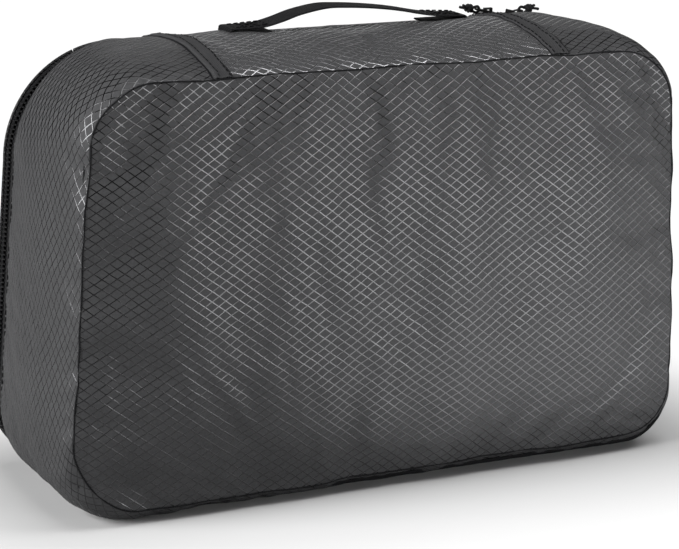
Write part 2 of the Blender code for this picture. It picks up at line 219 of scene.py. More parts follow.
def mix_colour(tree, factor, a, b):
    """A blend of two colours or sockets."""
    node = tree.nodes.new("ShaderNodeMix")
    node.data_type = "RGBA"
    tree.links.new(factor, node.inputs["Factor"])
    for socket, value in ((node.inputs["A"], a), (node.inputs["B"], b)):
        if isinstance(value, bpy.types.NodeSocket):
            tree.links.new(value, socket)
        else:
            socket.default_value = (*value, 1.0)
    return node.outputs["Result"]


def noise_value(tree, vector, scale, detail=3.0, roughness=0.5):
    """Smooth noise at a point, about 0 to 1."""
    node = tree.nodes.new("ShaderNodeTexNoise")
    node.inputs["Scale"].default_value = scale
    node.inputs["Detail"].default_value = detail
    node.inputs["Roughness"].default_value = roughness
    tree.links.new(vector, node.inputs["Vector"])
    return node.outputs["Fac"]


def cloth_coordinates(tree, turn=0.0):
    """The two ways of a cloth's weave, in millimetres, from its flat UV map in metres."""
    uv = tree.nodes.new("ShaderNodeUVMap")
    uv.uv_map = "flat"
    mapping = tree.nodes.new("ShaderNodeMapping")
    mapping.inputs["Rotation"].default_value = (0, 0, math.radians(turn))
    mapping.inputs["Scale"].default_value = (1 / MM, 1 / MM, 1 / MM)
    tree.links.new(uv.outputs["UV"], mapping.inputs["Vector"])
    split = tree.nodes.new("ShaderNodeSeparateXYZ")
    tree.links.new(mapping.outputs["Vector"], split.inputs["Vector"])
    return split.outputs["X"], split.outputs["Y"], mapping.outputs["Vector"]


def bump(tree, height, distance):
    """A normal that follows a height of 0 to 1, spread over a distance in metres."""
    node = tree.nodes.new("ShaderNodeBump")
    node.inputs["Distance"].default_value = distance
    node.inputs["Strength"].default_value = 1.0
    tree.links.new(height, node.inputs["Height"])
    return node.outputs["Normal"]


def line_distance(tree, value):
    """How far a coordinate is from the nearest whole number, 0 to 0.5."""
    part = math_node(tree, "FRACT", value)
    from_middle = math_node(tree, "ABSOLUTE", math_node(tree, "SUBTRACT", part, 0.5))
    return math_node(tree, "SUBTRACT", 0.5, from_middle)


# ---------------------------------------------------------------- materials
def ripstop(name, turn=0.0, line_gloss_and_painted_light=0.15, depth=1.0):
    """Coated nylon with a raised lattice of glossy thick yarns round matt woven diamonds. The lines' gloss is
    set per piece and also carries painted light; depth below 1 darkens the cells as painted shade.
    """
    mat, tree, principled = shader(name)
    x, y, flat = cloth_coordinates(tree, turn)
    along = math_node(tree, "DIVIDE", x, LATTICE_LONG)
    across = math_node(tree, "DIVIDE", y, LATTICE_SHORT)
    rising = line_distance(tree, math_node(tree, "SUBTRACT", across, along))
    falling = line_distance(tree, plus(tree, across, along))
    nearest = math_node(tree, "MINIMUM", rising, falling)
    spacing = LATTICE_LONG * LATTICE_SHORT / math.hypot(LATTICE_LONG, LATTICE_SHORT)
    half = LATTICE_LINE / spacing
    line = ramp(tree, nearest, half * 0.7, half * 1.15, 1.0, 0.0)
    ridge = ramp(tree, nearest, 0.0, half * 1.5, 1.0, 0.0)

    weave_x = sine(tree, x, WEAVE_X)
    weave_y = sine(tree, y, WEAVE_Y)
    weave = plus(tree, weave_x, times(tree, weave_y, 0.6))
    slub = noise_value(tree, flat, 0.9, 4.0, 0.6)
    cloudy = noise_value(tree, flat, 0.05, 3.0, 0.5)

    shade = plus(tree, times(tree, weave, 0.12), times(tree, slub, 0.9))
    shade = plus(tree, shade, times(tree, cloudy, 0.35))
    # depth below 1 darkens the cell colours: painted shade
    cell = mix_colour(tree, ramp(tree, shade, 0.2, 1.1, smooth=False),
                      [c * depth for c in CELL_DARK],
                      [c * depth for c in CELL_LIGHT])
    # the lines' colour is their gloss, made brighter or darker per piece as painted light
    colour = mix_colour(tree, line, cell, (line_gloss_and_painted_light, line_gloss_and_painted_light, line_gloss_and_painted_light * 1.03))
    tree.links.new(colour, principled.inputs["Base Color"])
    tree.links.new(ramp(tree, line, 0.0, 1.0, CELL_ROUGH, LINE_ROUGH, smooth=False),
                   principled.inputs["Roughness"])
    tree.links.new(line, principled.inputs["Metallic"])
    principled.inputs["Specular IOR Level"].default_value = 0.12

    fine = plus(tree, times(tree, weave, 0.04), times(tree, slub, 0.10))
    height = plus(tree, fine, ridge)
    tree.links.new(bump(tree, height, 0.06 * MM), principled.inputs["Normal"])
    return mat


def woven(name, dark, light, thread_x, thread_y, roughness, lift):
    """A plain black weave: threads that pass over and under, with a little fuzz."""
    mat, tree, principled = shader(name)
    x, y, flat = cloth_coordinates(tree)
    over = sine(tree, x, 2 * thread_x)
    cross = sine(tree, y, 2 * thread_y)
    weave = times(tree, over, cross)
    fuzz = noise_value(tree, flat, 1.7, 4.0, 0.65)
    shade = plus(tree, times(tree, weave, 0.25), fuzz)
    tree.links.new(mix_colour(tree, ramp(tree, shade, 0.2, 0.9, smooth=False), dark, light),
                   principled.inputs["Base Color"])
    tree.links.new(ramp(tree, fuzz, 0.3, 0.7, roughness - 0.08, roughness + 0.08, smooth=False),
                   principled.inputs["Roughness"])
    principled.inputs["Specular IOR Level"].default_value = 0.01
    tree.links.new(bump(tree, shade, lift * MM), principled.inputs["Normal"])
    return mat


def webbing(name):
    """Black webbing: a diagonal twill in ribs, with bound edges."""
    mat, tree, principled = shader(name)
    x, y, flat = cloth_coordinates(tree)
    slant = plus(tree, x, times(tree, y, 0.8))
    twill = sine(tree, slant, 1.5)
    yarn = sine(tree, y, 0.55)
    fuzz = noise_value(tree, flat, 2.2, 4.0, 0.65)
    shade = plus(tree, times(tree, twill, 0.35), times(tree, yarn, 0.18))
    shade = plus(tree, shade, times(tree, fuzz, 0.7))
    tree.links.new(mix_colour(tree, ramp(tree, shade, 0.0, 0.9, smooth=False),
                              (0.003, 0.003, 0.0033), (0.020, 0.020, 0.021)),
                   principled.inputs["Base Color"])
    tree.links.new(ramp(tree, shade, 0.0, 0.9, 0.62, 0.46, smooth=False), principled.inputs["Roughness"])
    principled.inputs["Specular IOR Level"].default_value = 0.03
    tree.links.new(bump(tree, shade, 0.25 * MM), principled.inputs["Normal"])
    return mat


def braid(name):
    """Black braided cord: two sets of strands that cross."""
    mat, tree, principled = shader(name)
    x, y, flat = cloth_coordinates(tree)
    one = sine(tree, plus(tree, x, y), 0.9)
    two = sine(tree, math_node(tree, "SUBTRACT", x, y), 0.9)
    strands = math_node(tree, "MAXIMUM", one, two)
    fuzz = noise_value(tree, flat, 2.5, 3.0, 0.6)
    shade = plus(tree, times(tree, strands, 0.5), fuzz)
    tree.links.new(mix_colour(tree, ramp(tree, shade, 0.2, 1.3, smooth=False),
                              (0.005, 0.005, 0.0055), (0.028, 0.028, 0.029)),
                   principled.inputs["Base Color"])
    principled.inputs["Roughness"].default_value = 0.6
    principled.inputs["Specular IOR Level"].default_value = 0.03
    tree.links.new(bump(tree, shade, 0.15 * MM), principled.inputs["Normal"])
    return mat


def smooth_black(name, colour, worn, roughness, metallic, scale):
    """Painted metal or nylon: near black, with rubbed patches and fine unevenness."""
    mat, tree, principled = shader(name)
    where = tree.nodes.new("ShaderNodeTexCoord").outputs["Object"]
    patches = noise_value(tree, where, scale, 5.0, 0.6)
    grain = noise_value(tree, where, scale * 9, 3.0, 0.6)
    tree.links.new(mix_colour(tree, ramp(tree, patches, 0.45, 0.75), colour, worn),
                   principled.inputs["Base Color"])
    tree.links.new(ramp(tree, grain, 0.3, 0.7, roughness - 0.07, roughness + 0.10, smooth=False),
                   principled.inputs["Roughness"])
    principled.inputs["Metallic"].default_value = metallic
    principled.inputs["Specular IOR Level"].default_value = 0.12
    tree.links.new(bump(tree, grain, 0.03 * MM), principled.inputs["Normal"])
    return mat


LOOKS = {
    "ripstop_panel": lambda name: ripstop(name, LATTICE_TURN, 0.065),
    # the spine is the same cloth with much brighter lines: a painted highlight on the top
    "ripstop_spine": lambda name: ripstop(name, 0.0, 0.38),
    "ripstop_wrap": lambda name: ripstop(name, 0.0, 0.06),
    "ripstop_band": lambda name: woven(name, (0.020, 0.020, 0.021), (0.062, 0.062, 0.064),
                                       0.5, 0.45, 0.66, 0.05),
    # the trim is the same cloth made darker, cells at 0.3 and dim lines: painted shade on the edges beside the
    # zip
    "ripstop_trim": lambda name: ripstop(name, 0.0, 0.03, 0.3),
    "ripstop_lid": ripstop,
    "tape": lambda name: woven(name, (0.004, 0.004, 0.0045), (0.020, 0.020, 0.021), 0.45, 0.45, 0.72, 0.08),
    "net": lambda name: woven(name, (0.006, 0.006, 0.0065), (0.030, 0.030, 0.031), 0.25, 0.25, 0.7, 0.04),
    "thread": lambda name: woven(name, (0.003, 0.003, 0.0033), (0.014, 0.014, 0.0145), 0.35, 0.2, 0.6, 0.05),
    "webbing": webbing,
    "cord": braid,
    "coil": lambda name: smooth_black(name, (0.004, 0.004, 0.0043), (0.010, 0.010, 0.0105), 0.28, 0.0, 300),
    "metal": lambda name: smooth_black(name, (0.006, 0.006, 0.006), (0.022, 0.0215, 0.021), 0.34, 0.4, 220),
}


def look(name):
    """A material by name, made once."""
    full = name + "_finish"
    return bpy.data.materials.get(full) or LOOKS[name](full)


# ---------------------------------------------------------------- the cube's outline
def cubic(y, column):
    """A value of SECTIONS at depth y, on a smooth curve that doesn't overshoot."""
    ys = [row[0] for row in SECTIONS]
    vs = [row[column] for row in SECTIONS]
    i = max(0, min(len(ys) - 2, sum(1 for v in ys if v <= y) - 1))
    span = ys[i + 1] - ys[i]
    slopes = [(vs[k + 1] - vs[k]) / (ys[k + 1] - ys[k]) for k in range(len(ys) - 1)]

    def tangent(k):
        if k == 0:
            return slopes[0]
        if k == len(ys) - 1:
            return slopes[-1]
        before, after = slopes[k - 1], slopes[k]
        return 0.0 if before * after <= 0 else 2 * before * after / (before + after)

    t = min(1.0, max(0.0, (y - ys[i]) / span))
    return (vs[i] * (1 + 2 * t) * (1 - t) ** 2 + vs[i + 1] * t * t * (3 - 2 * t)
            + span * tangent(i) * t * (1 - t) ** 2 + span * tangent(i + 1) * t * t * (t - 1))


def outline(y):
    """At depth y: half length at mid height, bottom, top, top and bottom corner radius."""
    ends, bottom, top, upper, lower = (cubic(y, column) for column in range(1, 6))
    return LENGTH / 2 - LEAN - ends, bottom, HEIGHT - top, upper, lower


def nearness(y):
    """1 at the back panel's seam, fading to 0 well into the gusset."""
    return min(1.0, max(0.0, (SEAM_REACH_Y - y) / (SEAM_REACH_Y - BACK_Y)))


def settle(x, y, z):
    """The stuffed cube isn't quite even: its bottom right seam rides up, its top sags in the
    middle and is pulled up at the handle's left end."""
    right = min(1.0, max(0.0, (x + LENGTH / 2) / LENGTH))
    low = max(0.0, 1 - z / SEAM_RISE_HEIGHT)
    z += SEAM_RISE * right * low * nearness(y)
    sagging = max(0.0, 1 - (x / 100.0) ** 2) * max(0.0, 1 - ((y + 6) / 37.0) ** 2)
    pulled = math.exp(-((x - PULLED_X) / 14) ** 2 - ((y - HANDLE_Y) / 12) ** 2)
    top = max(0.0, z / HEIGHT) ** 6
    near = nearness(y) ** 2
    wander = noise.noise_vector(Vector((x, z, 40.0)) * 0.05) * SEAM_WANDER * near
    lift = (PULLED * pulled - TOP_SAG * sagging) * top
    return x + wander.x * 0.6, y + wander.y, z + wander.z * 0.6 + lift


def corner(side, end, angle):
    """A station round a corner: side +1 is right, end +1 is the top, angle counts from there."""
    turn = math.radians(angle)

    def point(y, under=0.0):
        half, bottom, top, upper, lower = outline(y)
        radius = upper if end > 0 else lower - side * CORNER_SKEW * nearness(y)
        middle = top - radius if end > 0 else bottom + radius
        reach = radius - under
        return Vector((side * (half - end * LEAN - radius + reach * math.sin(turn)), y,
                       middle + end * reach * math.cos(turn)))
    return point


def on_top(x):
    """A station on the flat of the top."""
    def point(y, under=0.0):
        return Vector((x, y, outline(y)[2] - under))
    return point


def between(first, last, share):
    """A station part of the way from one to another."""
    def point(y, under=0.0):
        return first(y, under).lerp(last(y, under), share)
    return point


def run(first, last, cells):
    """Stations from one to another along a straight, without the last."""
    return [between(first, last, i / cells) for i in range(cells)]


def turn_run(side, end, first, last, cells):
    """Stations round part of a corner, without the last."""
    return [corner(side, end, first + (last - first) * i / cells) for i in range(cells)]


# ---------------------------------------------------------------- the shell
def grid_stations():
    """Stations round the seam from the top left corner's middle, as four sides of a grid."""
    a = ARC_CELLS
    band = BAND_HIGH.x, BAND_LOW.x
    stops = [corner(-1, 1, 0), on_top(-band[0]), on_top(-band[1]),
             on_top(band[1]), on_top(band[0]), corner(1, 1, 0)]
    top = turn_run(-1, 1, 45, 0, a)
    for first, last, cells in zip(stops, stops[1:], TOP_CELLS):
        top += run(first, last, cells)
    top += turn_run(1, 1, 0, 45, a)
    right = (turn_run(1, 1, 45, 90, a) + run(corner(1, 1, 90), corner(1, -1, 90), SIDE_CELLS)
             + turn_run(1, -1, 90, 45, a))
    bottom = (turn_run(1, -1, 45, 0, a) + run(corner(1, -1, 0), corner(-1, -1, 0), sum(TOP_CELLS))
              + turn_run(-1, -1, 0, 45, a))
    left = (turn_run(-1, -1, 45, 90, a) + run(corner(-1, -1, 90), corner(-1, 1, 90), SIDE_CELLS)
            + turn_run(-1, 1, 90, 45, a))
    return top, right, bottom, left


def row_depths():
    """Depth of each row of the gusset, finer beside the seam."""
    ys = [BACK_Y]
    for step in ROW_STEPS:
        ys.append(ys[-1] + step)
    rest = ZIP_EDGE_Y - ys[-1]
    cells = round(rest / ROW_STEP)
    return ys + [ys[-1] + rest * (i + 1) / cells for i in range(cells)]


def shares(points):
    """Share of the way along a line of points, from 0 to 1."""
    steps = [0.0] + [(b - a).length for a, b in zip(points, points[1:])]
    total = np.cumsum(steps)
    return total / total[-1]


def panel_grid(ring, counts):
    """Inner points of the back panel, blended from the four sides of its seam."""
    nx, nz = counts
    count = len(ring)
    top = [ring[i] for i in range(nx + 1)]
    right = [ring[nx + j] for j in range(nz + 1)]
    bottom = [ring[(2 * nx + nz - i) % count] for i in range(nx + 1)]
    left = [ring[(2 * nx + 2 * nz - j) % count] for j in range(nz + 1)]
    us = (shares(top) + shares(bottom)) / 2
    vs = (shares(left) + shares(right)) / 2
    grid = []
    for j in range(1, nz):
        for i in range(1, nx):
            u, v = us[i], vs[j]
            p = (top[i] * (1 - v) + bottom[i] * v + left[j] * (1 - u) + right[j] * u
                 - top[0] * (1 - u) * (1 - v) - top[nx] * u * (1 - v)
                 - bottom[0] * (1 - u) * v - bottom[nx] * u * v)
            swell = (1 - abs(2 * u - 1) ** 2.4) * (1 - abs(2 * v - 1) ** 2.8)
            grid.append(Vector((p.x, p.y - PANEL_SWELL * swell, p.z)))
    return grid


class Shell:
    """Grid of the sewn cloth: the gusset's rows, whose first is the seam, then the panel."""

    def __init__(self):
        sides = grid_stations()
        self.nx, self.nz = len(sides[0]), len(sides[1])
        self.stations = [s for side in sides for s in side]
        self.count = len(self.stations)
        self.ys = row_depths()
        self.rows = len(self.ys)
        points = []
        for y in self.ys:
            points += [Vector(settle(*station(y))) for station in self.stations]
        points += panel_grid(points[:self.count], (self.nx, self.nz))
        self.points = np.array(points)
        self.rest = self.points.copy()

    def gusset_index(self, column, row):
        """The gusset's vertex; columns run on round the seam."""
        return row * self.count + column % self.count

    def panel_index(self, i, j):
        """The panel's vertex at column i and row j; its border is the seam's first row."""
        nx, nz = self.nx, self.nz
        if j == 0:
            return i
        if i == nx:
            return nx + j
        if j == nz:
            return 2 * nx + nz - i
        if i == 0:
            return (2 * nx + 2 * nz - j) % self.count
        return self.rows * self.count + (j - 1) * (nx - 1) + i - 1

    def gusset_faces(self, columns):
        faces = []
        for column in columns:
            for row in range(self.rows - 1):
                faces.append((self.gusset_index(column, row), self.gusset_index(column + 1, row),
                              self.gusset_index(column + 1, row + 1),
                              self.gusset_index(column, row + 1)))
        return faces

    def panel_faces(self):
        index = self.panel_index
        return [(index(i, j), index(i, j + 1), index(i + 1, j + 1), index(i + 1, j))
                for j in range(self.nz) for i in range(self.nx)]

    def spine_columns(self):
        """First and one past the last column of cells on the spine."""
        first = ARC_CELLS + TOP_CELLS[0] + TOP_CELLS[1] // 2
        return first, first + TOP_CELLS[1] + TOP_CELLS[2]

    def seam_distance(self):
        """How far each vertex lies from the back seam, in millimetres."""
        ring = self.rest[:self.count]
        out = np.empty(len(self.rest))
        for start in range(0, len(self.rest), 2000):
            block = self.rest[start:start + 2000]
            gaps = np.linalg.norm(block[:, None, :] - ring[None, :, :], axis=2)
            out[start:start + 2000] = gaps.min(axis=1)
        return out


def make_mesh(name, points, faces):
    """A mesh object from points in millimetres."""
    mesh = bpy.data.meshes.new(name)
    mesh.from_pydata([tuple(float(c) * MM for c in p) for p in points], [], faces)
    mesh.update()
    ob = bpy.data.objects.new(name, mesh)
    bpy.context.scene.collection.objects.link(ob)
    return ob


def set_weights(ob, name, weights):
    group = ob.vertex_groups.new(name=name)
    for index, weight in enumerate(weights):
        if weight > 0:
            group.add([index], float(weight), "REPLACE")
    return name


def inflate(shell):
    """Let the sewn cloth take up its slack under a little inside pressure, seams held."""
    ring_count = shell.count
    last = (shell.rows - 1) * ring_count
    spread = shell.seam_distance()
    jitter = np.array([noise.noise_vector(Vector(p) * 0.16) for p in shell.rest])
    free = np.ones(len(shell.rest))
    free[:ring_count] = 0
    free[last:last + ring_count] = 0
    start = shell.rest + jitter * 0.35 * free[:, None]
    cap = tuple(range(last, last + ring_count))
    faces = shell.gusset_faces(range(ring_count)) + shell.panel_faces() + [cap]
    ob = make_mesh("cloth_trial", start, faces)
    bm = bmesh.new()
    bm.from_mesh(ob.data)
    bmesh.ops.recalc_face_normals(bm, faces=bm.faces)
    bm.to_mesh(ob.data)
    bm.free()

    cloth = ob.modifiers.new("cloth", "CLOTH")
    settings = cloth.settings
    settings.quality = 5
    settings.mass = 0.12
    settings.tension_stiffness = 30
    settings.compression_stiffness = 30
    settings.shear_stiffness = 12
    settings.bending_stiffness = 0.08
    settings.tension_damping = 10
    settings.compression_damping = 10
    settings.shear_damping = 10
    settings.air_damping = 3
    settings.use_pressure = True
    settings.uniform_pressure_force = 1.6
    settings.vertex_group_mass = set_weights(ob, "held", 1 - free)
    patches = np.array([noise.noise(Vector(p) * 0.028) for p in shell.rest])
    slack = np.clip(1 - spread / 24.0, 0, 1) * np.clip(0.6 + 1.1 * patches, 0.1, 1.0) * free
    settings.vertex_group_shrink = set_weights(ob, "slack", slack)
    settings.shrink_min = -0.006
    settings.shrink_max = -0.085
    settings.effector_weights.gravity = 0
    scene = bpy.context.scene
    for frame_number in range(1, 21):
        scene.frame_set(frame_number)
    graph = bpy.context.evaluated_depsgraph_get()
    done = ob.evaluated_get(graph).to_mesh()
    moved = np.array([v.co for v in done.vertices]) / MM
    scene.frame_set(1)
    bpy.data.objects.remove(ob, do_unlink=True)
    travel = moved - shell.rest
    length = np.linalg.norm(travel, axis=1, keepdims=True)
    limit = 7.0
    travel *= np.minimum(1.0, limit / np.maximum(length, 1e-9))
    shell.points = shell.rest + travel
    shell.points[:, 2] = np.maximum(shell.points[:, 2], 0.4)
    print("cloth travel", float(length.mean()), float(length.max()))


def cloth_piece(name, points, faces, flat, mat, body):
    """A piece of cloth cut from the shell, with its flat map, smoothed and given a thickness."""
    used = sorted({i for face in faces for i in face})
    place = {index: k for k, index in enumerate(used)}
    ob = make_mesh(name, [points[i] for i in used], [[place[i] for i in face] for face in faces])
    layer = ob.data.uv_layers.new(name="flat")
    for polygon, face in zip(ob.data.polygons, faces):
        for loop, index in zip(polygon.loop_indices, face):
            layer.data[loop].uv = flat(index, face)
    for polygon in ob.data.polygons:
        polygon.use_smooth = True
    smooth = ob.modifiers.new("smooth", "SUBSURF")
    smooth.levels = smooth.render_levels = 1
    thick = ob.modifiers.new("thick", "SOLIDIFY")
    thick.thickness = CLOTH * MM
    thick.offset = -1.0
    ob.data.materials.append(mat)
    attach(ob, body)
    return ob


def make_shell():
    shell = Shell()
    inflate(shell)
    rest, count = shell.rest, shell.count
    ring = rest[:count]
    steps = np.linalg.norm(np.roll(ring, -1, axis=0) - ring, axis=1)
    around = np.concatenate([[0.0], np.cumsum(steps)])
    gusset = rest[:shell.rows * count].reshape(shell.rows, count, 3)
    drops = np.linalg.norm(np.diff(gusset, axis=0), axis=2)
    depth = np.vstack([np.zeros(count), np.cumsum(drops, axis=0)])

    def panel_flat(index, face):
        return rest[index][0] * MM, rest[index][2] * MM

    def spine_flat(index, face):
        return rest[index][0] * MM, depth[index // count][index % count] * MM

    def wrap_flat(index, face):
        column = index % count
        if column == 0 and any(i % count == count - 1 for i in face):
            column = count
        return around[column] * MM, depth[index // count][index % count] * MM

    panel = cloth_piece("cloth_back_panel", shell.points, shell.panel_faces(), panel_flat,
                        look("ripstop_panel"), "root")
    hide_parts("back_panel")
    first, last = shell.spine_columns()
    # the spine's cloth has brighter lines as a painted highlight
    spine = cloth_piece("cloth_gusset_spine", shell.points, shell.gusset_faces(range(first, last)),
                        spine_flat, look("ripstop_spine"), "root")
    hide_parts("gusset_spine")
    wrap_columns = list(range(last, count)) + list(range(first))
    wrap = cloth_piece("cloth_gusset_wrap", shell.points, shell.gusset_faces(wrap_columns),
                       wrap_flat, look("ripstop_wrap"), "root")
    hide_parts("gusset_wrap")
    return shell


# ---------------------------------------------------------------- building blocks for the trim
def finish_piece(ob, mat, body, nodes=()):
    ob.data.materials.append(mat)
    if body is not None:
        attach(ob, body)
    if nodes:
        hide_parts(*nodes)
    return ob


def lengths_along(points):
    return np.concatenate([[0.0], np.cumsum(np.linalg.norm(np.diff(points, axis=0), axis=1))])


def sheet_mesh(name, lines, thickness=0.0, closed=False):
    """A mesh over parallel lines of points; its flat map counts along and across the lines.
    Closed lines end where they start."""
    grid = np.array([[tuple(p) for p in line] for line in lines])
    rows, count = grid.shape[:2]
    across = np.array([lengths_along(grid[:, k]) for k in range(count)]).T
    along = lengths_along(grid[rows // 2])
    width = count - 1 if closed else count
    cells = [(r, k) for r in range(rows - 1) for k in range(count - 1)]
    faces = [(r * width + k, r * width + (k + 1) % width, (r + 1) * width + (k + 1) % width,
              (r + 1) * width + k) for r, k in cells]
    ob = make_mesh(name, grid[:, :width].reshape(-1, 3), faces)
    layer = ob.data.uv_layers.new(name="flat")
    for polygon, (r, k) in zip(ob.data.polygons, cells):
        polygon.use_smooth = True
        corners = ((r, k), (r, k + 1), (r + 1, k + 1), (r + 1, k))
        for loop, (row, column) in zip(polygon.loop_indices, corners):
            layer.data[loop].uv = along[column] * MM, across[row][column] * MM
    if thickness:
        thick = ob.modifiers.new("thick", "SOLIDIFY")
        thick.thickness = thickness * MM
        thick.offset = 0.0
    return ob


def swept_lines(stations, section):
    """Lines along stations on the cube's outline, one for each (y, under) point of a section."""
    return [[station(y, under) for station in stations] for y, under in section]


def tube_rings(points, radii, sides):
    """Rings of points round a path, carried along it without twisting."""
    path = [Vector(p) for p in points]
    rings = []
    normal = None
    for i, point in enumerate(path):
        tangent = (path[min(i + 1, len(path) - 1)] - path[max(i - 1, 0)]).normalized()
        if normal is None:
            helper = Vector((0, 0, 1)) if abs(tangent.z) < 0.9 else Vector((1, 0, 0))
            normal = tangent.cross(helper).normalized()
        normal = (normal - tangent * normal.dot(tangent)).normalized()
        side = tangent.cross(normal)
        ring = [point + (normal * math.cos(a) + side * math.sin(a)) * radii[i]
                for a in (2 * math.pi * k / sides for k in range(sides))]
        rings.append(ring)
    return rings


def tubes_mesh(name, paths, sides=8):
    """Round cords along several paths; each path is its points and its radius or radii."""
    verts, faces, flats = [], [], []
    for points, radius in paths:
        radii = [radius] * len(points) if isinstance(radius, (int, float)) else radius
        start = len(verts)
        rings = tube_rings(points, radii, sides)
        along = lengths_along(np.array([tuple(p) for p in points]))
        for ring in rings:
            verts += ring
        for i in range(len(rings) - 1):
            for k in range(sides):
                a, b = start + i * sides, start + (i + 1) * sides
                n = (k + 1) % sides
                faces.append((a + k, a + n, b + n, b + k))
                turn = 2 * math.pi * radii[i] / sides
                flats.append([(along[i], k * turn), (along[i], (k + 1) * turn),
                              (along[i + 1], (k + 1) * turn), (along[i + 1], k * turn)])
        for i, order in ((0, -1), (len(rings) - 1, 1)):
            cap = [start + i * sides + k for k in range(sides)][::order]
            faces.append(tuple(cap))
            flats.append([(along[i], 0.0)] * sides)
    ob = make_mesh(name, verts, faces)
    layer = ob.data.uv_layers.new(name="flat")
    for polygon, corners in zip(ob.data.polygons, flats):
        polygon.use_smooth = len(corners) == 4 or sides < 8
        for loop, corner_flat in zip(polygon.loop_indices, corners):
            layer.data[loop].uv = corner_flat[0] * MM, corner_flat[1] * MM
    return ob


CAPSULE_SHAPE = ((-0.5, 0.35), (-0.42, 0.8), (-0.25, 1.0), (0.25, 1.0), (0.42, 0.8), (0.5, 0.35))


def capsules_mesh(name, rods, sides=6):
    """Many short round-ended rods; each is its two ends and its radius."""
    return tubes_mesh(name, [([a.lerp(b, t + 0.5) for t, _ in CAPSULE_SHAPE],
                              [radius * r for _, r in CAPSULE_SHAPE]) for a, b, radius in rods], sides)


def spaced(points, pitch, margin=0.0, normals=None):
    """Places at an even pitch along a line of points: (point, direction, normal) for each."""
    grid = np.array([tuple(p) for p in points])
    along = lengths_along(grid)
    count = max(1, int((along[-1] - 2 * margin) / pitch))
    places = []
    for i in range(count):
        at = margin + (i + 0.5) * (along[-1] - 2 * margin) / count
        k = min(len(along) - 2, int(np.searchsorted(along, at, side="right")) - 1)
        t = (at - along[k]) / max(1e-9, along[k + 1] - along[k])
        direction = Vector(grid[k + 1] - grid[k]).normalized()
        normal = None if normals is None else Vector(normals[k]).lerp(Vector(normals[k + 1]), t)
        places.append((Vector(grid[k] * (1 - t) + grid[k + 1] * t), direction, normal))
    return places


def stitches(name, lines, body, nodes=()):
    """Rows of thread stitches lying along lines of points."""
    rods = []
    for line in lines:
        for point, direction, _ in spaced(line, STITCH_PITCH):
            rods.append((point - direction * STITCH / 2, point + direction * STITCH / 2, STITCH_R))
    ob = capsules_mesh(name, rods, 5)
    return finish_piece(ob, look("thread"), body, nodes)


def smooth_path(points, steps):
    """A Catmull-Rom curve through a few route points."""
    route = [Vector(p) for p in points]
    ends = [2 * route[0] - route[1]] + route + [2 * route[-1] - route[-2]]
    out = []
    for i in range(len(route) - 1):
        p0, p1, p2, p3 = ends[i:i + 4]
        for step in range(steps):
            t = step / steps
            out.append(0.5 * (2 * p1 + (p2 - p0) * t + (2 * p0 - 5 * p1 + 4 * p2 - p3) * t ** 2
                              + (3 * p1 - p0 - 3 * p2 + p3) * t ** 3))
    out.append(route[-1])
    return out


# ---------------------------------------------------------------- stations for the trim
def lower_stations(start_angle, start_x=None):
    """From the top right corner, down and round the bottom, to the top left corner."""
    fine = 24
    stations = []
    if start_x is not None:
        stations += run(on_top(start_x), corner(1, 1, 0), 12)
    stations += turn_run(1, 1, start_angle, 90, fine) + run(corner(1, 1, 90), corner(1, -1, 90), 30)
    stations += turn_run(1, -1, 90, 0, fine) + run(corner(1, -1, 0), corner(-1, -1, 0), 60)
    stations += turn_run(-1, -1, 0, 90, fine) + run(corner(-1, -1, 90), corner(-1, 1, 90), 30)
    stations += turn_run(-1, 1, 90, start_angle, fine) + [corner(-1, 1, start_angle)]
    if start_x is not None:
        stations = stations[:-1] + run(corner(-1, 1, 0), on_top(-start_x), 12) + [on_top(-start_x)]
    return stations


def stub_stations(side, start_x):
    return run(on_top(side * start_x), corner(side, 1, 0), 8) + turn_run(side, 1, 0, STUB_END, 8) \
        + [corner(side, 1, STUB_END)]


def loop_stations():
    """Once round the whole outline from the middle of the top, closed."""
    stations = run(on_top(0), corner(1, 1, 0), 30) + turn_run(1, 1, 0, 90, 16)
    stations += run(corner(1, 1, 90), corner(1, -1, 90), 30) + turn_run(1, -1, 90, 0, 16)
    stations += run(corner(1, -1, 0), corner(-1, -1, 0), 60) + turn_run(-1, -1, 0, 90, 16)
    stations += run(corner(-1, -1, 90), corner(-1, 1, 90), 30) + turn_run(-1, 1, 90, 0, 16)
    return stations + run(corner(-1, 1, 0), on_top(0), 30) + [on_top(0)]


def outward(stations, y):
    """Directions square to the outline at each station."""
    return [(station(y, 0.0) - station(y, 1.0)).normalized() for station in stations]


# ---------------------------------------------------------------- the zip
def chain_parting(x, z):
    """How far the two coils stand apart, from the end stops to the sliders."""
    if z < ZIP_TOP - 12:
        return 0.0
    slider_b = zip_slider_b_x()
    if x > 0:
        return min(1.0, max(0.0, (slider_b + 3 - x) / 4)) * 1.3
    return min(1.0, max(0.0, (x + STOP_START_X + 5) / 4)) * 1.0


def zip_slider_b_x():
    half, _, _, radius, _ = outline(ZIP_Y)
    return half - LEAN - radius + radius * math.sin(math.radians(SLIDER_B_ANGLE))


def coil(name, side, stations, phase, body, nodes):
    """One half of the coil: teeth that reach just past the middle."""
    line = [station(ZIP_Y, 0.0) for station in stations]
    normals = outward(stations, ZIP_Y)
    rods = []
    for point, direction, normal in spaced(line, TOOTH_PITCH, 0.0, normals):
        middle = point + direction * phase * TOOTH_PITCH
        apart = chain_parting(point.x, point.z)
        head = middle + Vector((0, side * (apart - 0.42), 0)) + normal * 0.12
        heel = middle + Vector((0, side * (apart + 2.75), 0)) + normal * 0.02
        rods.append((head, heel, TOOTH_R))
    ob = capsules_mesh(name, rods, 6)
    return finish_piece(ob, look("coil"), body, nodes)


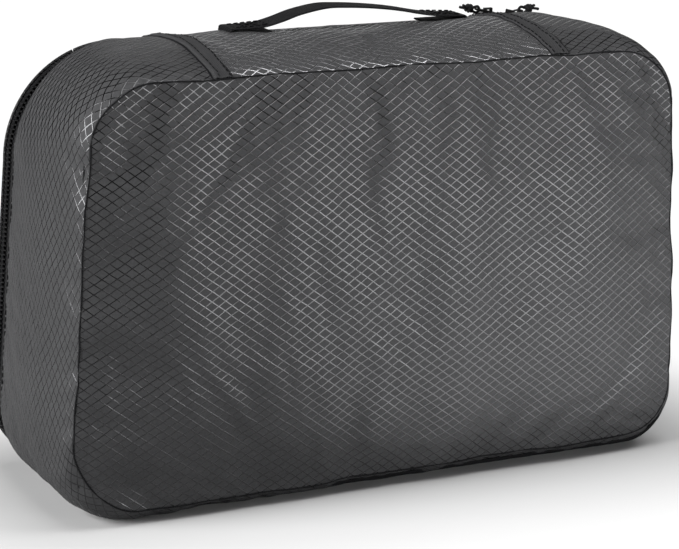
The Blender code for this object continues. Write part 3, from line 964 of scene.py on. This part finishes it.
def zip_tape(name, side, stations, body, nodes):
    if side < 0:
        section = [(26.5, 1.35), (29.0, 1.3), (31.5, 1.1), (33.2, 0.75), (34.0, 0.65), (34.8, 0.7)]
    else:
        section = [(37.6, 0.7), (38.4, 0.65), (39.4, 0.75), (41.0, 1.1), (42.6, 1.35), (43.4, 1.5)]
    ob = sheet_mesh(name, swept_lines(stations, section), 0.45)
    return finish_piece(ob, look("tape"), body, nodes)


def make_zip():
    whole = lower_stations(0, STOP_START_X - 3.4)
    toothed = lower_stations(0, STOP_START_X + 1.8)
    swinging = lower_stations(LID_START)
    zip_tape("zip_tape_near", -1, whole, "root", ["zip_tape_body"])
    coil("zip_teeth_near", -1, toothed, 0.0, "root", ["zip_coil_body"])
    zip_tape("zip_tape_far", 1, swinging, "lid", ["zip_tape_lid"])
    coil("zip_teeth_far", 1, swinging, 0.5, "lid", ["zip_coil_lid"])
    for name, side in (("left", -1), ("right", 1)):
        stub = stub_stations(side, STOP_START_X - 3.4)
        zip_tape("zip_tape_stub_" + name, 1, stub, "root", ["zip_tape_corner_" + name])
        stub = stub_stations(side, STOP_START_X + 1.8)
        coil("zip_teeth_stub_" + name, 1, stub, 0.5, "root", ["zip_coil_corner_" + name])
    row = [station(ZIP_EDGE_Y - 2.6, -0.1) for station in lower_stations(0, SPINE_END_X + 5)]
    stitches("zip_topstitch", [row], "root")


def make_hems():
    """The cloth's folded edges beside the zip, on the body and on the lid's fixed corners."""
    edge = ZIP_EDGE_Y
    section = [(edge - 0.3, 0.0), (edge + 0.5, -0.1), (edge + 0.95, 0.3), (edge + 0.7, 0.9), (edge - 0.6, 1.0)]
    hem = sheet_mesh("zip_hem", swept_lines(lower_stations(0, SPINE_END_X), section), 0.3)
    # the hem's darkened cloth is painted shade
    finish_piece(hem, look("ripstop_trim"), "root")


LID_EDGE = ((41.6, 1.0), (41.5, 0.4), (42.0, -0.05), (42.9, -0.15), (43.9, 0.1), (44.7, 0.75), (45.1, 1.7),
            (45.2, 2.6))


def make_lid_rim():
    rim = sheet_mesh("lid_edge", swept_lines(lower_stations(LID_START), LID_EDGE), 0.5)
    # the lid's edge is darkened the same way: painted shade
    finish_piece(rim, look("ripstop_trim"), "lid", ["lid_rim"])
    for name, side in (("left", -1), ("right", 1)):
        lines = swept_lines(stub_stations(side, SPINE_END_X), LID_EDGE)
        piece = sheet_mesh("lid_edge_stub_" + name, lines, 0.5)
        finish_piece(piece, look("ripstop_trim"), "root", ["lid_corner_" + name])


def window_loop(grow):
    """The window's rounded outline, with the same stations as loop_stations."""
    half, radius = WINDOW_HALF + grow, WINDOW_R + grow
    low, high = WINDOW_Z[0] - grow, WINDOW_Z[1] + grow

    def arc(side, end, first, last):
        return [Vector((side * (half - radius + radius * math.sin(a)), 0,
                        (high - radius if end > 0 else low + radius) + end * radius * math.cos(a)))
                for a in (math.radians(first + (last - first) * i / 16) for i in range(17))]

    corners = [arc(1, 1, 0, 90), arc(1, -1, 90, 0), arc(-1, -1, 0, 90), arc(-1, 1, 90, 0)]
    middle = Vector((0, 0, high))
    points = [middle.lerp(corners[0][0], i / 30) for i in range(30)]
    for part, cells in zip(range(4), (30, 60, 30, 30)):
        points += corners[part][:-1]
        target = corners[part + 1][0] if part < 3 else middle
        points += [corners[part][-1].lerp(target, i / cells) for i in range(cells)]
    return points + [middle]


def make_lid_panel():
    outer = [station(LID_Y, 2.6) for station in loop_stations()]
    inner = window_loop(0.0)
    rows = 12
    lines = []
    for row in range(rows + 1):
        t = row / rows
        line = []
        for a, b in zip(outer, inner):
            p = a.lerp(b, t)
            wave = noise.noise(Vector((p.x, 0, p.z)) * 0.06) * 0.5 * math.sin(math.pi * t)
            line.append(Vector((p.x, 45.2 + 1.5 * math.sin(math.pi * t * 0.9) ** 0.8 + wave, p.z)))
        lines.append(line)
    hem = [Vector((p.x, lines[-1][0].y - 0.9, p.z)) for p in window_loop(0.1)]
    border = sheet_mesh("lid_border", lines + [hem], 0.5, closed=True)
    finish_piece(border, look("ripstop_lid"), "lid", ["lid_panel"])
    rows = [[Vector((p.x, 46.1, p.z)) for p in window_loop(grow)] for grow in (2.2, 5.0)]
    stitches("window_topstitch", rows, "lid")


def net_bulge(x, z):
    middle = (WINDOW_Z[0] + WINDOW_Z[1]) / 2
    across = min(1.0, abs(x) / (WINDOW_HALF + 5))
    up = min(1.0, abs(z - middle) / (WINDOW_Z[1] - middle + 5))
    return 44.5 + 2.2 * (1 - across ** 3) * (1 - up ** 3)


def in_window(x, z, grow):
    """Whether a point is inside the window's rounded outline."""
    half, radius = WINDOW_HALF + grow, WINDOW_R + grow
    middle = (WINDOW_Z[0] + WINDOW_Z[1]) / 2
    tall = WINDOW_Z[1] - middle + grow
    dx, dz = abs(x) - (half - radius), abs(z - middle) - (tall - radius)
    if dx > 0 and dz > 0:
        return math.hypot(dx, dz) <= radius
    return dx <= radius and dz <= radius


def make_net():
    """An open net of yarns: six-sided holes, each yarn with real thickness."""
    wide, tall = NET_CELL, NET_CELL * 0.58
    columns = int(2 * (WINDOW_HALF + 4) / wide)
    rows = int((WINDOW_Z[1] - WINDOW_Z[0] + 8) / tall)
    verts, place = [], {}
    for r in range(rows + 1):
        for c in range(columns + 1):
            x = -WINDOW_HALF - 4 + c * wide + (wide / 4 if (r + c) % 2 else -wide / 4)
            z = WINDOW_Z[0] - 4 + r * tall
            if in_window(x, z, 4.0):
                place[r, c] = len(verts)
                verts.append((x, net_bulge(x, z), z))
    faces = []
    for r in range(rows):
        for c in range(columns):
            first = (r + c) % 2 == 0
            if not first:
                continue
            hexagon = [(r, c), (r, c + 1), (r + 1, c + 1), (r + 2, c + 1), (r + 2, c), (r + 1, c)]
            if all(h in place for h in hexagon):
                faces.append([place[h] for h in hexagon])
    net = make_mesh("lid_net", verts, faces)
    layer = net.data.uv_layers.new(name="flat")
    for loop in net.data.loops:
        co = net.data.vertices[loop.vertex_index].co
        layer.data[loop.index].uv = co.x, co.z
    wire = net.modifiers.new("yarns", "WIREFRAME")
    wire.thickness = NET_YARN * MM
    wire.use_even_offset = False
    finish_piece(net, look("net"), "lid", ["mesh_window"])


def make_bindings():
    """The woven tapes that bind the seams inside the cube and round the net."""
    lines = [[Vector((p.x, y, p.z)) for p in window_loop(grow)]
             for grow, y in ((4.6, 43.9), (4.8, 43.0), (3.0, 42.7), (1.2, 43.0), (1.0, 43.9))]
    ring = sheet_mesh("window_binding", lines, 0.4, closed=True)
    finish_piece(ring, look("tape"), "lid", ["mesh_binding"])
    lid = [(41.4, 2.2), (42.4, 1.9), (43.4, 2.4), (43.5, 3.4), (42.4, 3.6), (41.4, 3.2)]
    piece = sheet_mesh("lid_binding", swept_lines(lower_stations(LID_START), lid), 0.4)
    finish_piece(piece, look("tape"), "lid", ["lid_seam_binding"])
    back = [(-43.2, 2.0), (-42.0, 1.6), (-39.0, 1.6), (-38.6, 2.4), (-40.0, 2.9), (-42.6, 2.8)]
    piece = sheet_mesh("back_binding", swept_lines(loop_stations(), back), 0.4, closed=True)
    finish_piece(piece, look("tape"), "root", ["back_seam_binding"])


def make_spine_hinge():
    """The spine's cloth carries on over the zip's end and folds down as the lid's hinge."""
    xs = [-SPINE_END_X + 2 * SPINE_END_X * i / 74 for i in range(75)]
    ys = [ZIP_EDGE_Y - 0.1, 33.0, 36.0, 39.0, 41.5, 43.0]
    lines = [[on_top(x)(y, 0.0) for x in xs] for y in ys]
    flat = sheet_mesh("spine_edge", lines, 0.5)
    # the spine's cloth keeps its painted highlight on the lines here and on the hinge below
    finish_piece(flat, look("ripstop_spine"), "root")
    top = outline(43.0)[2]
    bottom = outline(LID_Y)[2]
    fold = [(42.9, top - 0.05), (44.0, top - 0.6), (44.8, bottom + 0.4), (45.3, bottom - 0.9),
            (45.5, bottom - 2.2), (45.6, bottom - 3.6)]
    path = smooth_path([(0, y, z) for y, z in fold], 3)
    strip = sheet_mesh("lid_hinge_cloth", [[Vector((x, p.y, p.z)) for x in xs] for p in path], 0.5)
    finish_piece(strip, look("ripstop_spine"), None)
    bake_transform(strip)


# ---------------------------------------------------------------- the seam bands
def band_offset(t):
    """Height of a folded seam band across its width, from its inner to its outer edge."""
    rise = min(1.0, t / 0.07)
    lip = 0.35 * max(0.0, 1 - abs(t - 0.86) / 0.14)
    return -0.3 + 0.95 * rise + lip - (1.6 if t > 0.999 else 0.0)


def make_bands(shell):
    """Folded, topstitched seams over the cloth at both ends of the spine."""
    count = shell.count
    first = ARC_CELLS + TOP_CELLS[0]
    right = first + TOP_CELLS[1] + TOP_CELLS[2]
    shares_across = [0.0, 0.05, 0.12, 0.25, 0.38, 0.5, 0.62, 0.74, 0.84, 0.92, 0.97, 1.0]
    for name, start, outer in (("left", first, 0), ("right", right, 1)):
        lines, seam_rows = [], []
        for t in shares_across:
            at = TOP_CELLS[1] * (t if outer else 1 - t)
            k = min(TOP_CELLS[1] - 1, int(at))
            line = []
            for row in range(shell.rows):
                def cell(column, r):
                    held = max(0, min(shell.rows - 1, r))
                    return Vector(shell.points[shell.gusset_index(start + column, held)])
                p = cell(k, row).lerp(cell(k + 1, row), at - k)
                normal = (cell(k + 1, row) - cell(k, row)).cross(cell(k, row + 1) - cell(k, row - 1))
                normal.normalize()
                if normal.z < 0:
                    normal.negate()
                wave = 0.55 * noise.noise(Vector((p.x * 0.25, p.y * 0.30, 3.0)))
                line.append(p + normal * (band_offset(t) + wave * (0.2 < t < 0.999)))
            lines.append(line)
        band = sheet_mesh("band_" + name, lines, 0.45)
        smooth = band.modifiers.new("smooth", "SUBSURF")
        smooth.levels = smooth.render_levels = 1
        finish_piece(band, look("ripstop_band"), "root", ["seam_band_" + name])
        for share in (2, 7):
            seam_rows.append([p + Vector((0, 0, 0.30)) for p in lines[share]])
        stitches("band_stitches_" + name, seam_rows, "root")
        # dark cords along the band's folded outer edge and its inner groove: painted shade where fold and
        # groove fall in shadow
        edge = [p + Vector((0.5 if outer else -0.5, 0, 0.75)) for p in lines[-1]]
        groove = [p + Vector((0, 0, 0.12)) for p in lines[0]]
        ob = tubes_mesh("band_thread_" + name, [(edge, 0.55), (groove, 0.45)], 6)
        finish_piece(ob, look("tape"), "root")


def make_seam_shade_cord(shell):
    """A dark cord sunk in the seam between the back panel and the gusset: painted shade for the shade in the
    seam's groove.
    """
    ring = [Vector(p) for p in shell.points[:shell.count]]
    middle = sum(ring, Vector()) / len(ring)
    points = []
    for p in ring + ring[:1]:
        wander = noise.noise(p * 0.21) * 0.3
        sunk = 0.25 + 0.5 * noise.noise(p * 0.09)
        points.append(p + Vector((0, wander, 0)) - (p - middle).normalized() * sunk)
    # a black cord as the seam groove's painted shade
    shade_cord = tubes_mesh("seam_shade_cord", [(points, 0.34)], 6)
    finish_piece(shade_cord, look("tape"), "root")


# ---------------------------------------------------------------- the handle
def handle_height(x):
    """Height of the strap's middle above the top of the cube."""
    xs, heights = zip(*HANDLE_ROUTE)
    return float(np.interp(x, xs, heights))


def handle_route():
    """The strap's middle line in (x, z), folded under itself at both ends."""
    (left, left_under, left_top), (right, right_under, right_top) = HANDLE_FOLDS
    route = [(left + 18, left_under), (left + 9, left_under), (left + 0.6, left_under),
             (left, (left_under + left_top) / 2), (left + 0.6, left_top)]
    route += HANDLE_ROUTE
    route += [(right - 0.6, right_top), (right, (right_under + right_top) / 2),
              (right - 0.6, right_under), (right - 9, right_under), (right - 18, right_under)]
    return smooth_path([(x, HANDLE_Y, HEIGHT + z) for x, z in route], 6)


def make_handle():
    """The strap in two halves, each sewn down at its end and swinging in the middle."""
    path = handle_route()
    middle = min(range(len(path)), key=lambda i: abs(path[i].x) + (0 if path[i].z > HEIGHT + 5 else 99))
    half = WEBBING / 2
    section = [(-half, 0.0), (-half + 0.25, 0.3), (-half + 1, 0.40), (0, 0.43), (half - 1, 0.40),
               (half - 0.25, 0.3), (half, 0.0), (half - 0.25, -0.3), (half - 1, -0.40), (0, -0.43),
               (-half + 1, -0.40), (-half + 0.25, -0.3), (-half, 0.0)]
    for name, part, nodes, side in (("left", path[:middle + 1], ["handle_end_left"], -1),
                                    ("right", path[middle:], ["handle_end_right", "handle_strap"], 1)):
        lines = []
        for y, lift in section:
            line = []
            for i, p in enumerate(part):
                k = i + (middle if side > 0 else 0)
                tangent = (path[min(k + 1, len(path) - 1)] - path[max(k - 1, 0)]).normalized()
                normal = Vector((-tangent.z, 0, tangent.x))
                twist = 0.35 * noise.noise(Vector((p.x * 0.05, y * 0.1, 7.0)))
                line.append(p + Vector((0, y, 0)) + normal * (lift * WEBBING_T / 0.86)
                            + Vector((0, 0, twist * 0.4)))
            lines.append(line)
        ob = sheet_mesh("handle_strap_" + name, lines)
        finish_piece(ob, look("webbing"), None, nodes)
        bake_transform(ob)
        a = HANDLE_FOLDS[side > 0][0] - side * BOX_INSET
        b = a - side * BOX_LENGTH
        corners = [Vector((x, HANDLE_Y + y, HEIGHT + handle_height(x) + BOX_LIFT))
                   for x, y in ((a, -BOX_HALF), (b, -BOX_HALF), (b, BOX_HALF), (a, BOX_HALF))]
        rows = [[p, q] for p, q in zip(corners, corners[1:] + corners[:1])]
        rows += [[corners[0], corners[2]], [corners[1], corners[3]]]
        stitches("handle_stitches_" + name, rows, "root", ["handle_stitching_" + name])


# ---------------------------------------------------------------- the pulls
def pull_frame(joint_name, side, rise):
    """Places a pull's own axes, with X from its pin to its knot, in the frame."""
    joint = next(j for j in frame["joints"] if j["name"] == joint_name)
    angle = math.radians(rise)
    along = Vector((side * math.cos(angle), 0, math.sin(angle)))
    across = Vector((0, 1, 0))
    up = along.cross(across)
    place = Matrix((along, across, up)).transposed().to_4x4()
    place.translation = Vector(joint["pos_m"]) / MM
    return place


def make_pull(letter, side, rise):
    """A pull's cord: a loop through the ring, a wound knot and two short tails."""
    place = pull_frame("pull_%s_flip" % letter, side, rise)
    reach = RING_WIRE + CORD_R + 0.25
    half_loop = [(KNOT_START + 0.8, 0.55, 0.15), (RING_LENGTH + 1.3, 0.75, 0.85 * reach),
                 (RING_LENGTH - 0.1, 0.2, reach)]
    route = half_loop + [(RING_LENGTH - reach, 0.0, 0.0)]
    route += [(x, -y, -z) for x, y, z in reversed(half_loop)]
    loop = [place @ p for p in smooth_path(route, 6)]
    cord = tubes_mesh("cord_loop_" + letter, [(loop, CORD_R)], 10)
    finish_piece(cord, look("cord"), "pull_" + letter, ["pull_cord_" + letter])

    turns, steps = 2.25, 44
    winding = []
    for i in range(steps + 1):
        t = i / steps
        a = 2 * math.pi * turns * t
        swell = 1.05 + 0.35 * math.sin(math.pi * t)
        winding.append(place @ Vector((KNOT_START - 0.2 + (KNOT_END - KNOT_START + 0.2) * t,
                                       swell * math.cos(a), swell * math.sin(a))))
    core = [place @ Vector((x, 0, 0)) for x in (KNOT_START, KNOT_START + 1.3, KNOT_END)]
    paths = [(winding, CORD_R * 1.05), (core, [0.9, 1.2, 0.9])]
    for way in (-1, 1):
        tail = [(KNOT_END - 1.0, way * 0.5, 0.0), (KNOT_END + 0.8, way * 0.9, way * 0.3),
                (KNOT_END + 2.8, way * (1.6 + 0.2 * side), way * 0.6 - 0.4)]
        tail = [place @ p for p in smooth_path(tail, 5)]
        paths.append((tail, [CORD_R] * (len(tail) - 2) + [CORD_R * 1.08, CORD_R * 0.9]))
    knot = tubes_mesh("knot_" + letter, paths, 10)
    finish_piece(knot, look("cord"), "pull_" + letter, ["pull_knot_" + letter])


METAL_NODES = ("slider_a", "slider_b", "pull_ring_a", "pull_ring_b",
               "zip_end_stop_left", "zip_end_stop_right")


def dress_metal():
    """The sliders, rings and stops stay the CAD's own, with softened edges and a paint finish."""
    for node in METAL_NODES:
        ob = frame["nodes"][node]
        ob.data.materials.clear()
        ob.data.materials.append(look("metal"))
        if "ring" in node:
            continue
        edge = ob.modifiers.new("soft_edges", "BEVEL")
        edge.width = 0.18 * MM
        edge.segments = 2
        edge.limit_method = "ANGLE"
        edge.angle_limit = math.radians(40)


# ---------------------------------------------------------------- floor, light and camera
CAMERA_YAW = -26.9      # degrees
CAMERA_PITCH = 14.93
CAMERA_ROLL = 1.17
CAMERA_AT = (-0.4716, -0.9280, 0.3565)      # metres
FOCAL_WIDTHS = 2600 / 679       # focal length over the picture's width

LIGHTS_AIM = (0, 0, 0.09)       # the point that every softbox looks at, in metres
CARD_AT = (0.25, -0.37, 0.004)
CARD_SIZE = (0.50, 0.60)
CARD_RADIANCE = 2.3
WORLD_LIGHT = 0.10      # the white backdrop's light on the cube, as a share of what is seen

FLOOR_SIZE = 12.0       # metres
FLOOR_Y = 2.0           # the floor's middle, behind the cube
FLOOR_RETURN = 0.34     # how much of the light the floor throws back on the cube
FLOOR_SHADE = 0.52      # the floor's own brightness near the cube, where its shadow falls
FLOOR_FADE = 0.10       # metres from the cube over which the floor fades to plain white


def make_floor():
    """A pale floor that goes to plain white a little way from the cube, and that throws
    only a dim light back on it."""
    bpy.ops.mesh.primitive_plane_add(size=FLOOR_SIZE, location=(0, FLOOR_Y, 0))
    floor = bpy.context.object
    floor.name = "floor"
    mat = bpy.data.materials.new("floor")
    mat.use_nodes = True
    tree = mat.node_tree
    where = tree.nodes.new("ShaderNodeNewGeometry").outputs["Position"]
    split = tree.nodes.new("ShaderNodeSeparateXYZ")
    tree.links.new(where, split.inputs[0])
    gaps = []
    for axis, half in (("X", LENGTH / 2 * MM), ("Y", LID_Y * MM)):
        size = math_node(tree, "ABSOLUTE", split.outputs[axis])
        gap = math_node(tree, "MAXIMUM", math_node(tree, "SUBTRACT", size, half), 0.0)
        gaps.append(times(tree, gap, gap))
    away = math_node(tree, "SQRT", plus(tree, *gaps))
    grain = noise_value(tree, where, 8.0, 2.0, 0.5)
    away = plus(tree, away, times(tree, grain, 0.004))
    pale = tree.nodes["Principled BSDF"]
    plain = ramp(tree, away, 0.0, FLOOR_FADE)
    tree.links.new(mix_colour(tree, plain, (FLOOR_SHADE,) * 3, (0.03, 0.03, 0.03)),
                   pale.inputs["Base Color"])
    pale.inputs["Roughness"].default_value = 0.9
    pale.inputs["Specular IOR Level"].default_value = 0.1
    pale.inputs["Emission Color"].default_value = (1, 1, 1, 1)
    tree.links.new(plain, pale.inputs["Emission Strength"])
    dim = tree.nodes.new("ShaderNodeBsdfDiffuse")
    dim.inputs["Color"].default_value = (*(FLOOR_RETURN,) * 3, 1)
    path = tree.nodes.new("ShaderNodeLightPath")
    mix = tree.nodes.new("ShaderNodeMixShader")
    tree.links.new(path.outputs["Is Camera Ray"], mix.inputs[0])
    tree.links.new(dim.outputs[0], mix.inputs[1])
    tree.links.new(pale.outputs[0], mix.inputs[2])
    tree.links.new(mix.outputs[0], tree.nodes["Material Output"].inputs["Surface"])
    floor.data.materials.append(mat)


def area_light(name, width, height, radiance):
    """An evenly bright rectangle that the camera doesn't see."""
    light = bpy.data.lights.new(name, "AREA")
    light.shape = "RECTANGLE"
    light.size, light.size_y = width, height
    light.energy = radiance * width * height * math.pi
    ob = bpy.data.objects.new(name, light)
    bpy.context.scene.collection.objects.link(ob)
    ob.visible_camera = False
    return ob


def softbox(name, azimuth, elevation, distance, width, height, radiance):
    """A light that looks at the cube; azimuth 0 is in front of the back panel."""
    ob = area_light(name, width, height, radiance)
    a, e = math.radians(azimuth), math.radians(elevation)
    away = Vector((math.sin(a) * math.cos(e), -math.cos(a) * math.cos(e), math.sin(e)))
    ob.location = Vector(LIGHTS_AIM) + away * distance
    ob.rotation_euler = away.to_track_quat("Z", "Y").to_euler()


def floor_card():
    """A bright card that lies on the floor in front of the cube's right half and faces up."""
    ob = area_light("floor_card", *CARD_SIZE, CARD_RADIANCE)
    ob.location = CARD_AT
    ob.rotation_euler = (math.pi, 0, 0)


def make_world():
    """A white backdrop that lights the cube only a little."""
    world = bpy.data.worlds.new("studio")
    bpy.context.scene.world = world
    world.use_nodes = True
    tree = world.node_tree
    background = tree.nodes["Background"]
    path = tree.nodes.new("ShaderNodeLightPath")
    seen = tree.nodes.new("ShaderNodeMapRange")
    seen.inputs["To Min"].default_value = WORLD_LIGHT
    seen.inputs["To Max"].default_value = 1.0
    tree.links.new(path.outputs["Is Camera Ray"], seen.inputs["Value"])
    tree.links.new(seen.outputs[0], background.inputs["Strength"])


def make_camera():
    """The camera, placed and turned as in the view that the cube was drawn from."""
    data = bpy.data.cameras.new("camera")
    data.sensor_width = 36.0
    data.lens = FOCAL_WIDTHS * data.sensor_width
    camera = bpy.data.objects.new("camera", data)
    bpy.context.scene.collection.objects.link(camera)
    yaw, pitch = math.radians(-CAMERA_YAW), math.radians(-CAMERA_PITCH)
    look = Matrix.Rotation(-yaw, 3, "Z") @ Matrix.Rotation(math.pi / 2 + pitch, 3, "X")
    look = look @ Matrix.Rotation(math.radians(CAMERA_ROLL), 3, "Z")
    camera.matrix_world = Matrix.Translation(CAMERA_AT) @ look.to_4x4()
    bpy.context.scene.camera = camera


def make_studio():
    """Floor, backdrop, lights and camera. A softbox reads: azimuth and elevation in degrees,
    distance, width and height in metres, radiance."""
    make_floor()
    make_world()
    softbox("key", 31, 4, 1.3, 0.66, 0.40, 10.2)
    floor_card()
    softbox("fill_left", -88, 20, 1.4, 0.8, 0.9, 16.0)
    softbox("overhead", 10, 80, 1.2, 0.9, 0.7, 4.8)
    softbox("high_right", 62, 52, 1.3, 0.6, 0.6, 5.4)
    softbox("back", 153, 17, 1.6, 0.9, 0.5, 0.9)
    make_camera()
    bpy.context.scene.view_settings.view_transform = "Standard"


def main():
    shell = make_shell()
    make_bands(shell)
    make_seam_shade_cord(shell)
    make_zip()
    make_hems()
    make_lid_rim()
    make_lid_panel()
    make_net()
    make_bindings()
    make_spine_hinge()
    make_handle()
    make_pull("a", -1, PULL_RISE_A)
    make_pull("b", 1, PULL_RISE_B)
    dress_metal()
    make_studio()


main()
